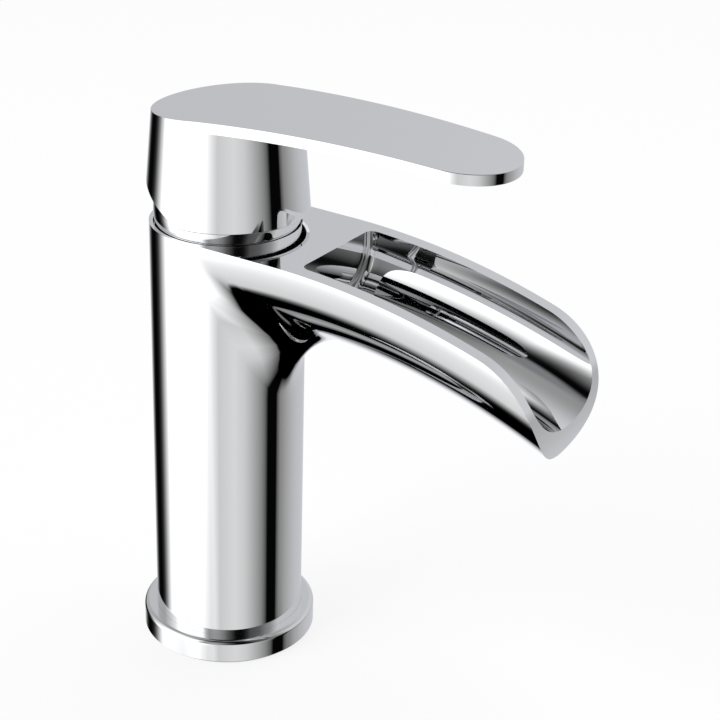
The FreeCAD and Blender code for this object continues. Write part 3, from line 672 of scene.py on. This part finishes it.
def rubber():
    """Moulded rubber."""
    material = bpy.data.materials.new("seal_rubber")
    shader = Shader(material)
    place = shader.node("ShaderNodeTexCoord", output="Object")
    bloom = shader.node("ShaderNodeTexNoise", {}, {"Vector": place, "Scale": 350.0, "Detail": 4.0})
    grain = shader.node("ShaderNodeTexNoise", {}, {"Vector": place, "Scale": 4000.0, "Detail": 2.0})
    colour = shader.node("ShaderNodeMix", {"data_type": "RGBA"}, {
        0: bloom, 6: (0.012, 0.012, 0.013, 1), 7: (0.035, 0.035, 0.036, 1)}, output=2)
    relief = shader.node("ShaderNodeBump", {}, {
        "Strength": 0.25, "Distance": 0.1 * MM, "Height": grain})
    surface = shader.node("ShaderNodeBsdfPrincipled", {}, {
        "Base Color": colour, "Roughness": 0.5 + 0.2 * bloom, "Normal": relief})
    shader.node("ShaderNodeOutputMaterial", {}, {"Surface": surface}, output=None)
    return material


dress(["base_gasket", "body_o_ring", "port_seals", "disc_seals", "dome_o_ring"], rubber())


# ------------------------------------------------------------------ cartridge
# Moulded plastic shell, port plate, carrier, turning piece and rings round two lapped ceramic
# discs. The colours tell the moving pieces from the fixed ones, and the limit ring is red.
def moulded(name, colour, gloss=0.38):
    """Injection-moulded plastic with a fine satin skin and faint flow marks."""
    material = bpy.data.materials.new(name)
    shader = Shader(material)
    place = shader.node("ShaderNodeTexCoord", output="Object")
    flow = shader.node("ShaderNodeTexNoise", {}, {
        "Vector": place, "Scale": 120.0, "Detail": 2.0, "Distortion": 1.5})
    skin = shader.node("ShaderNodeTexNoise", {}, {"Vector": place, "Scale": 2500.0, "Detail": 3.0})
    darker = tuple(channel * 0.86 for channel in colour)
    tone = shader.node("ShaderNodeMix", {"data_type": "RGBA"}, {
        0: flow, 6: (*darker, 1), 7: (*colour, 1)}, output=2)
    relief = shader.node("ShaderNodeBump", {}, {
        "Strength": 0.15, "Distance": 0.1 * MM, "Height": skin})
    surface = shader.node("ShaderNodeBsdfPrincipled", {}, {
        "Base Color": tone, "Roughness": gloss + 0.12 * skin, "Normal": relief})
    shader.node("ShaderNodeOutputMaterial", {}, {"Surface": surface}, output=None)
    return material


def ceramic():
    """Lapped aluminium-oxide ceramic: dense, off-white, almost mirror-flat."""
    material = bpy.data.materials.new("disc_ceramic")
    shader = Shader(material)
    place = shader.node("ShaderNodeTexCoord", output="Object")
    specks = shader.node("ShaderNodeTexNoise", {}, {
        "Vector": place, "Scale": 1800.0, "Detail": 5.0})
    tone = shader.node("ShaderNodeMix", {"data_type": "RGBA"}, {
        0: specks, 6: (0.80, 0.79, 0.75, 1), 7: (0.90, 0.89, 0.86, 1)}, output=2)
    surface = shader.node("ShaderNodeBsdfPrincipled", {}, {
        "Base Color": tone, "Roughness": 0.10 + 0.08 * specks, "Coat Weight": 0.3})
    shader.node("ShaderNodeOutputMaterial", {}, {"Surface": surface}, output=None)
    return material


dress(["cartridge_base", "cartridge_housing", "rotor_glide_ring"],
      moulded("white_moulding", (0.82, 0.82, 0.80)))
dress(["disc_carrier", "cartridge_rotor"], moulded("blue_moulding", (0.06, 0.17, 0.42)))
dress(["temperature_limit_ring"], moulded("red_moulding", (0.50, 0.035, 0.03)))
dress(["fixed_ceramic_disc", "moving_ceramic_disc"], ceramic())


# ------------------------------------------------------------------ nut, spindle, pin and screw
# Turned bare metal: brass for the retaining nut and the square spindle, steel for the cross
# pin and the grub screw. The lathe leaves fine rings, seen as bands in the gloss.
def turned_metal(name, colour, gloss):
    """Bare metal with turning marks along Z."""
    material = bpy.data.materials.new(name)
    shader = Shader(material)
    place = shader.node("ShaderNodeTexCoord", output="Object")
    drawn = shader.node("ShaderNodeMapping", {}, {"Vector": place, "Scale": (40, 40, 4000)})
    marks = shader.node("ShaderNodeTexNoise", {}, {"Vector": drawn, "Scale": 1.0, "Detail": 3.0})
    stain = shader.node("ShaderNodeTexNoise", {}, {"Vector": place, "Scale": 180.0, "Detail": 3.0})
    duller = tuple(channel * 0.8 for channel in colour)
    tone = shader.node("ShaderNodeMix", {"data_type": "RGBA"}, {
        0: stain, 6: (*duller, 1), 7: (*colour, 1)}, output=2)
    relief = shader.node("ShaderNodeBump", {}, {
        "Strength": 0.2, "Distance": 0.05 * MM, "Height": marks})
    surface = shader.node("ShaderNodeBsdfPrincipled", {}, {
        "Base Color": tone, "Metallic": 1.0, "Roughness": gloss + 0.15 * marks, "Normal": relief})
    shader.node("ShaderNodeOutputMaterial", {}, {"Surface": surface}, output=None)
    return material


dress(["retaining_nut", "lever_spindle"], turned_metal("bare_brass", (0.79, 0.60, 0.30), 0.22))
dress(["spindle_pin", "handle_grub_screw"], turned_metal("bare_steel", (0.60, 0.60, 0.61), 0.25))


# ------------------------------------------------------------------ dome cover
# Spun brass dome, chrome plated, pushed over the nut. It shows as the neck between pillar and
# lever, and stays covered by the lever's hub as that tips.
pivot_rise = 3.8 * MM
pivot_z = pillar_top + pivot_rise
dome_wall = 1.5 * MM
dome_radius = dome_high.x
dome_bore = dome_radius - dome_wall
skirt_radius = math.sqrt(dome_radius ** 2 - pivot_rise ** 2)
opening_rise = dome_high.z - pivot_z
outer_turn = math.degrees(math.asin(opening_rise / dome_radius))
inner_turn = math.degrees(math.asin(opening_rise / dome_bore))
skirt_turn = -math.degrees(math.asin(pivot_rise / dome_radius))
outline = [(dome_bore, dome_low.z), (skirt_radius, dome_low.z)]
outline += rounded(0, pivot_z, dome_radius, skirt_turn, outer_turn, 32)
outline += rounded(0, pivot_z, dome_bore, inner_turn, 0, 20)
dome_cover = turned("dome_cover_skin", outline)
dome_cover.data.materials.append(chrome_finish)
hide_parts("dome_cover")
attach(dome_cover, "tap")


# ------------------------------------------------------------------ lever
# Cast lever, chrome plated: a flat blade, slightly arched and narrower towards its tip, over a
# hollow tapered hub whose inside is painted near-black as shade. The hub's rear is cut at a slope
# so that the lever can tip back, and a hole there gives the key its way to the grub screw.
lever_low, lever_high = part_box("lever_handle")
lever_reach = lever_high.x
lever_top = lever_high.z
lever_thickness = 3.15 * MM
lever_arch = 488 * MM
lever_apex_x = 47.4 * MM
root_radius = 21.5 * MM
tip_radius = 16.3 * MM
hub_bottom = lever_low.z
hub_radius = 24.2 * MM
hub_taper = 0.083
hub_top = lever_top + 8 * MM
blank_bottom = lever_top - 20 * MM
lift = math.radians(25)
hub_gap = 1.3 * MM


def arch_line(radius, start, end, steps=64):
    """Points along the lever's arch, or along the same arch set lower by a smaller radius."""
    points = []
    for step in range(steps + 1):
        x = start + (end - start) * step / steps
        z = lever_top - lever_arch + math.sqrt(radius ** 2 - (x - lever_apex_x) ** 2)
        points.append((x, z))
    return points


def lever_plan():
    """Prism of the lever's plan: two round ends and tangent sides."""
    tip_x = lever_reach - tip_radius
    lean = math.asin((root_radius - tip_radius) / tip_x)
    steps = 80
    points = []
    for step in range(steps + 1):
        angle = math.pi / 2 - lean + (math.pi + 2 * lean) * step / steps
        points.append((root_radius * math.cos(angle), root_radius * math.sin(angle)))
    for step in range(steps + 1):
        angle = -math.pi / 2 + lean + (math.pi - 2 * lean) * step / steps
        points.append((tip_x + tip_radius * math.cos(angle), tip_radius * math.sin(angle)))
    return prism("lever_skin", points, blank_bottom, hub_top)


def hub_blank():
    """Tapered round bar for the hub."""
    mesh = bmesh.new()
    height = hub_top - hub_bottom
    place = Matrix.Translation((0, 0, hub_bottom + height / 2))
    bmesh.ops.create_cone(mesh, cap_ends=True, segments=192, radius1=hub_radius,
                          radius2=hub_radius - hub_taper * height, depth=height, matrix=place)
    return solid_object("hub_blank", mesh)


def ball(radius, z):
    """Round cutter."""
    mesh = bmesh.new()
    bmesh.ops.create_uvsphere(mesh, u_segments=96, v_segments=48, radius=radius,
                              matrix=Matrix.Translation((0, 0, z)))
    return solid_object("ball", mesh)


def side_drill(radius, start_x, end_x, z):
    """Round cutter along X."""
    mesh = bmesh.new()
    place = Matrix.Translation(((start_x + end_x) / 2, 0, z))
    place = place @ Matrix.Rotation(math.pi / 2, 4, "Y")
    bmesh.ops.create_cone(mesh, cap_ends=True, segments=64, radius1=radius, radius2=radius,
                          depth=end_x - start_x, matrix=place)
    return solid_object("side_drill", mesh)


def painted_hub_shade(name):
    """Painted shade for the hollow inside the hub: near-black, dull and grainy."""
    material = bpy.data.materials.new(name)
    shader = Shader(material)
    place = shader.node("ShaderNodeTexCoord", output="Object")
    grain = shader.node("ShaderNodeTexNoise", {}, {"Vector": place, "Scale": 1500.0, "Detail": 4.0})
    # Near-black tones: painted shade, with random grain.
    tone = shader.node("ShaderNodeMix", {"data_type": "RGBA"}, {
        0: grain, 6: (0.02, 0.02, 0.02, 1), 7: (0.05, 0.05, 0.048, 1)}, output=2)
    relief = shader.node("ShaderNodeBump", {}, {
        "Strength": 0.3, "Distance": 0.1 * MM, "Height": grain})
    surface = shader.node("ShaderNodeBsdfPrincipled", {}, {
        "Base Color": tone, "Metallic": 0.6, "Roughness": 0.5 + 0.2 * grain, "Normal": relief})
    shader.node("ShaderNodeOutputMaterial", {}, {"Surface": surface}, output=None)
    return material


cavity_radius = dome_radius + hub_gap
far = 60 * MM
blade_under = arch_line(lever_arch - lever_thickness, -far, 2 * far)
blade_over = arch_line(lever_arch, -far, 2 * far)
slope_x = (pivot_z - hub_bottom) * math.tan(lift / 2)
slope_start = slope_x - far
boss_radius = 8 * MM
boss_low = dome_high.z
stem_half = 4.05 * MM
stem_play = 0.05 * MM
stem_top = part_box("lever_spindle")[1].z
screw_low, screw_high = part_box("handle_grub_screw")
screw_z = (screw_low.z + screw_high.z) / 2
screw_tap = 2.55 * MM
key_bore = 2.8 * MM
key_bore_end = -8 * MM
plug_low, plug_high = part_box("indicator_plug")
plug_bore = (plug_high.z - plug_low.z) / 2 + 0.05 * MM
plug_depth = 2.4 * MM
plug_floor = plug_depth - (hub_radius - hub_taper * (screw_z - hub_bottom))

lever = lever_plan()
cut(lever, [slab_cutter(blade_under + [(2 * far, hub_bottom), (-far, hub_bottom)], far)])
cut(lever, [hub_blank()], "UNION")
cut(lever, [
    slab_cutter(blade_over + [(2 * far, hub_top + far), (-far, hub_top + far)], far),
    slab_cutter([(slope_x, hub_bottom), (slope_x, hub_bottom - far),
                 (slope_start, hub_bottom - far),
                 (slope_start, hub_bottom + far * math.tan(lift))], far),
    ball(cavity_radius, pivot_z),
])
cut(lever, [drill(boss_radius, boss_low, pivot_z + cavity_radius + MM, sides=96)], "UNION")
stem = [(-stem_half, -stem_half), (stem_half, -stem_half), (stem_half, stem_half),
        (-stem_half, stem_half)]
cut(lever, [
    prism("socket", stem, boss_low - MM + stem_play, stem_top + stem_play),
    side_drill(screw_tap, key_bore_end - MM, 0, screw_z),
    side_drill(key_bore, -far, key_bore_end, screw_z),
    side_drill(plug_bore, -far, plug_floor, screw_z),
])
soften(lever)
lever.data.materials.clear()
lever.data.materials.append(chrome_finish)
# Slot 1 holds painted shade: the near-black finish for the inside of the hub's hollow.
lever.data.materials.append(painted_hub_shade("hub_painted_shade"))
shade_paint_start = hub_bottom + 0.5 * MM
# Faces inside the hub's hollow, above its lower edge, get the painted shade.
for face in lever.data.polygons:
    from_pivot = (face.center - Vector((0, 0, pivot_z))).length
    if from_pivot < cavity_radius + close_fit and face.center.z > shade_paint_start:
        face.material_index = 1
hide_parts("lever_handle")
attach(lever, "handle")


# ------------------------------------------------------------------ indicator plug
# Small glossy plastic plug, grey, pressed into the mouth of the grub screw's hole and flush
# with the hub. A pin lifts it out when the lever has to come off.
dress(["indicator_plug"], moulded("grey_moulding", (0.34, 0.345, 0.36), 0.12))


# ------------------------------------------------------------------ floor and studio
# A plain pale floor and a plain surround. Large white panels with dark gaps between them stand
# round the tap, which chrome needs to show its form, and two softboxes give it a shadow.
def floor_finish():
    """White floor that keeps a soft shadow."""
    material = bpy.data.materials.new("floor_white")
    shader = Shader(material)
    paint = shader.node("ShaderNodeBsdfDiffuse", {}, {"Color": (0.9, 0.9, 0.9, 1.0)})
    white = shader.node("ShaderNodeEmission", {}, {"Color": (1.0, 1.0, 1.0, 1.0), "Strength": 1.03})
    seen = shader.node("ShaderNodeLightPath", output=None)
    share = 0.8 * Sock(shader, seen.outputs["Is Camera Ray"])
    surface = shader.node("ShaderNodeMixShader", {}, {0: share, 1: paint, 2: white})
    shader.node("ShaderNodeOutputMaterial", {}, {"Surface": surface}, output=None)
    return material


floor_radius = 4.0
floor_mesh = bmesh.new()
bmesh.ops.create_circle(floor_mesh, cap_ends=True, segments=64, radius=floor_radius,
                        matrix=Matrix.Translation((0, 0, -0.2 * MM)))
floor = solid_object("floor", floor_mesh)
floor.data.materials.append(floor_finish())
floor.visible_glossy = False

world = bpy.data.worlds.new("studio")
bpy.context.scene.world = world
sky = Shader(world)
direction = sky.node("ShaderNodeTexCoord", output="Object")
toward = sky.node("ShaderNodeSeparateXYZ", {}, {"Vector": direction}, output=None)
toward_x, toward_y, toward_z = (Sock(sky, toward.outputs[axis]) for axis in "XYZ")
half_turn = 180
turned_by = sky.node("ShaderNodeMath", {"operation": "ARCTAN2"}, {0: toward_y, 1: toward_x})
around = turned_by * (0.5 / math.pi) + 0.5
height = sky.node("ShaderNodeMath", {"operation": "ARCSINE"}, {0: toward_z})
rise = height * (half_turn / math.pi)
plating_gloss = 0.9


def round_place(degrees):
    """Place on a ramp that goes once round, from behind the tap to behind it."""
    return degrees / (2 * half_turn) + 0.5


def shown_light(shade):
    """Light that shows in the plating as a shade from 0 to 255."""
    return ((shade / 255 + 0.055) / 1.055) ** 2.4 / plating_gloss


def ring_of(*stops):
    """Panels and gaps round the tap: (degrees from the spout, shade, blueness) for each stop."""
    colours = []
    for degrees, shade, *blue in stops:
        cool = blue[0] if blue else 0.0
        level = shown_light(shade)
        colour = (level * (1 - cool), level * (1 - cool * 0.7), level * (1 + cool))
        colours.append((round_place(degrees), colour))
    return sky.node("ShaderNodeValToRGB", {"stops": colours}, {0: around})


def fade(value, low, high):
    """0 below low, 1 above high, smooth between."""
    return sky.node("ShaderNodeMapRange", {"interpolation_type": "SMOOTHSTEP"},
                    {0: value, 1: low, 2: high})


def blend(first, second, share):
    """Colour between two colours."""
    return sky.node("ShaderNodeMix", {"data_type": "RGBA"},
                    {0: share, 6: first, 7: second}, output=2)


low_ring = ring_of(
    (-180, 34), (-176, 62), (-170, 130), (-162, 215), (-154, 285), (-86, 275), (-82, 252),
    (-77, 232), (-68, 200), (-62, 204), (-45, 213), (-30, 201), (-15, 168), (-2, 130), (4, 95),
    (8, 4), (24, 4), (27, 90), (32, 130), (45, 156), (60, 177, 0.01), (75, 188, 0.02),
    (100, 195, 0.04), (116, 200, 0.04), (124, 236, 0.02), (134, 220, 0.02), (144, 178, 0.02),
    (152, 100), (159, 18), (168, 1), (175, 10), (180, 34))
high_ring = ring_of(
    (-180, 165), (-165, 200), (-150, 240), (-142, 280), (-97, 275), (-91, 190), (-86, 150),
    (-77, 160), (-70, 150), (-62, 125), (-56, 90), (-50, 60), (-44, 15), (-36, 5), (-30, 18),
    (-25, 45), (-20, 75), (-5, 90), (15, 145), (30, 200), (60, 201, 0.02), (110, 198, 0.02),
    (120, 193, 0.02), (135, 187, 0.02), (155, 172, 0.02), (180, 165))
top_ring = ring_of(
    (-180, 150), (-150, 170), (-125, 90), (-105, 20), (-80, 4), (-50, 4), (-30, 28), (-15, 80),
    (0, 113), (30, 133), (60, 142), (100, 147), (120, 128), (140, 100), (160, 110), (180, 150))
ceiling = (0.21, 0.21, 0.22, 1)

# Below the horizon the panels end and the dark table top begins: for each direction, how many
# degrees down that edge is, how bright the panel is at the edge, and over how many degrees it
# gains its full light.
quarter = 90
panel_ends = [
    (-180, 56, 0.5, 6), (-163, 57, 0.35, 20), (-150, 56, 0.45, 32), (-138, 53, 0.45, 30),
    (-127, 50, 0.35, 24), (-118, 50, 0.05, 21), (-97, 52, 0.05, 19), (-85, 60, 0.12, 40),
    (-70, 66.5, 0.2, 25), (-45, 69, 0.2, 25), (-22, 66.5, 0.2, 25), (-8, 60, 0.2, 25),
    (2, 52, 0.2, 20), (15, 45, 0.1, 12), (37, 43, 0.1, 11), (52, 47, 0.1, 12), (70, 53, 0.2, 13),
    (90, 53, 0.2, 13), (112, 56, 0.2, 13), (127, 50, 0.3, 10), (160, 50, 0.5, 6), (180, 56, 0.5, 6)]
ends_ramp = sky.node("ShaderNodeValToRGB", {"stops": [
    (round_place(degrees), (down / quarter, start, run / quarter))
    for degrees, down, start, run in panel_ends]}, {0: around})
ends = sky.node("ShaderNodeSeparateColor", {}, {"Color": ends_ramp}, output=None)
end_down, end_start, end_run = (Sock(sky, ends.outputs[number]) for number in range(3))
above_end = rise + quarter * end_down
climb = sky.node("ShaderNodeMath", {"operation": "DIVIDE", "use_clamp": True},
                 {0: above_end, 1: quarter * end_run})
panel_light = fade(above_end, -1.0, 2.0) * (end_start + (1 - end_start) * climb)
walls = blend(blend((0, 0, 0, 1), low_ring, panel_light), high_ring, fade(rise, -6.0, 6.0))
roofed = blend(walls, top_ring, fade(rise, 27.0, 73.0))
studio = blend(roofed, ceiling, fade(rise, 78.0, 86.0))
seen = sky.node("ShaderNodeLightPath", output=None)
shown = blend(studio, (1, 1, 1, 1), Sock(sky, seen.outputs["Is Camera Ray"]))
glow = sky.node("ShaderNodeBackground", {}, {"Color": shown, "Strength": 1.0})
sky.node("ShaderNodeOutputWorld", {}, {"Surface": glow}, output=None)

lamp_aim = Vector((0.03, 0, 0.08))
for label, place, size, power in (("left_softbox", (-0.7, -1.3, 1.5), 1.2, 14.0),
                                  ("top_softbox", (0.2, 0.5, 1.9), 1.6, 16.0)):
    lamp_data = bpy.data.lights.new(label, "AREA")
    lamp_data.shape = "SQUARE"
    lamp_data.size = size
    lamp_data.energy = power
    lamp = bpy.data.objects.new(label, lamp_data)
    lamp.location = place
    lamp.rotation_euler = (lamp_aim - Vector(place)).to_track_quat("-Z", "Y").to_euler()
    lamp.visible_glossy = False
    lamp.visible_camera = False
    bpy.context.scene.collection.objects.link(lamp)


# ------------------------------------------------------------------ camera
# The photograph's view, with a long lens: from above on the tap's right side, which puts the
# spout's tip at the right. It was solved from the tap's own round and straight edges.
camera_data = bpy.data.cameras.new("camera")
camera_data.sensor_width = 36
camera_data.lens = 92.893
camera_data.clip_end = 20
camera = bpy.data.objects.new("camera", camera_data)
bpy.context.scene.collection.objects.link(camera)
standpoint = (304.343 * MM, -407.665 * MM, 334.009 * MM)
heading = math.radians(32.2589)
tilt = math.radians(25.4475)
roll = math.radians(1.7026)
camera.matrix_world = (Matrix.Translation(standpoint)
                       @ Matrix.Rotation(heading, 4, "Z")
                       @ Matrix.Rotation(math.pi / 2 - tilt, 4, "X")
                       @ Matrix.Rotation(roll, 4, "Z"))
bpy.context.scene.camera = camera
bpy.context.scene.view_settings.view_transform = "Standard"
